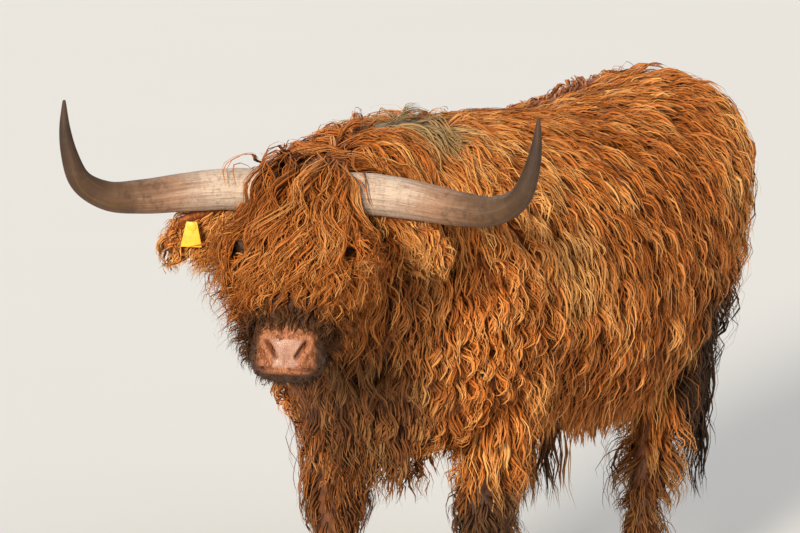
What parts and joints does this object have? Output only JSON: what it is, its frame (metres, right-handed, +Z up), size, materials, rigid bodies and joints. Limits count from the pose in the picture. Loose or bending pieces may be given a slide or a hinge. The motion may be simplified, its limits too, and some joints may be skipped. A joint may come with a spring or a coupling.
{
  "type": "highland cow",
  "caption": "Life-size long-haired highland cow standing still, head turned a little to its left, with long upswept horns, cloven hooves and a plain ear tag.",
  "frame": {"origin": "on the floor, under the middle of the model's box", "axes": "+Z up, the animal faces -Y and its left side is towards +X"},
  "size_m": [0.8866, 2.21, 1.3488],
  "materials": {
    "coat": "long wavy orange-brown hair",
    "dark_coat": "dark brown hair, wet and muddy",
    "horn": "satin horn, cream at the root and dark brown at the tip",
    "hoof": "dull dark horn",
    "eye": "wet, nearly black",
    "nose": "bare pink skin, moist",
    "tag": "plain yellow plastic, slightly worn"
  },
  "bodies": {
    "root": {"eye_left": "eye", "horn_left": "horn", "eye_right": "eye", "horn_right": "horn", "ear_tag": "tag", "fore_left_claw_outer": "hoof", "fore_left_dewclaw_outer": "hoof", "fore_left_claw_inner": "hoof", "fore_left_dewclaw_inner": "hoof", "fore_right_claw_outer": "hoof", "fore_right_dewclaw_outer": "hoof", "fore_right_claw_inner": "hoof", "fore_right_dewclaw_inner": "hoof", "hind_left_claw_outer": "hoof", "hind_left_dewclaw_outer": "hoof", "hind_left_claw_inner": "hoof", "hind_left_dewclaw_inner": "hoof", "hind_right_claw_outer": "hoof", "hind_right_dewclaw_outer": "hoof", "hind_right_claw_inner": "hoof", "hind_right_dewclaw_inner": "hoof", "nose": "nose", "head": "coat", "ear_left": "coat", "ear_right": "coat", "torso": "coat", "neck": "coat", "fore_left_upper_leg": "coat", "fore_left_lower_leg": "dark_coat", "fore_right_upper_leg": "coat", "fore_right_lower_leg": "dark_coat", "hind_left_upper_leg": "coat", "hind_left_lower_leg": "dark_coat", "hind_right_upper_leg": "coat", "hind_right_lower_leg": "dark_coat", "tail_dock": "coat", "tail_switch": "dark_coat"}
  },
  "joints": []
}
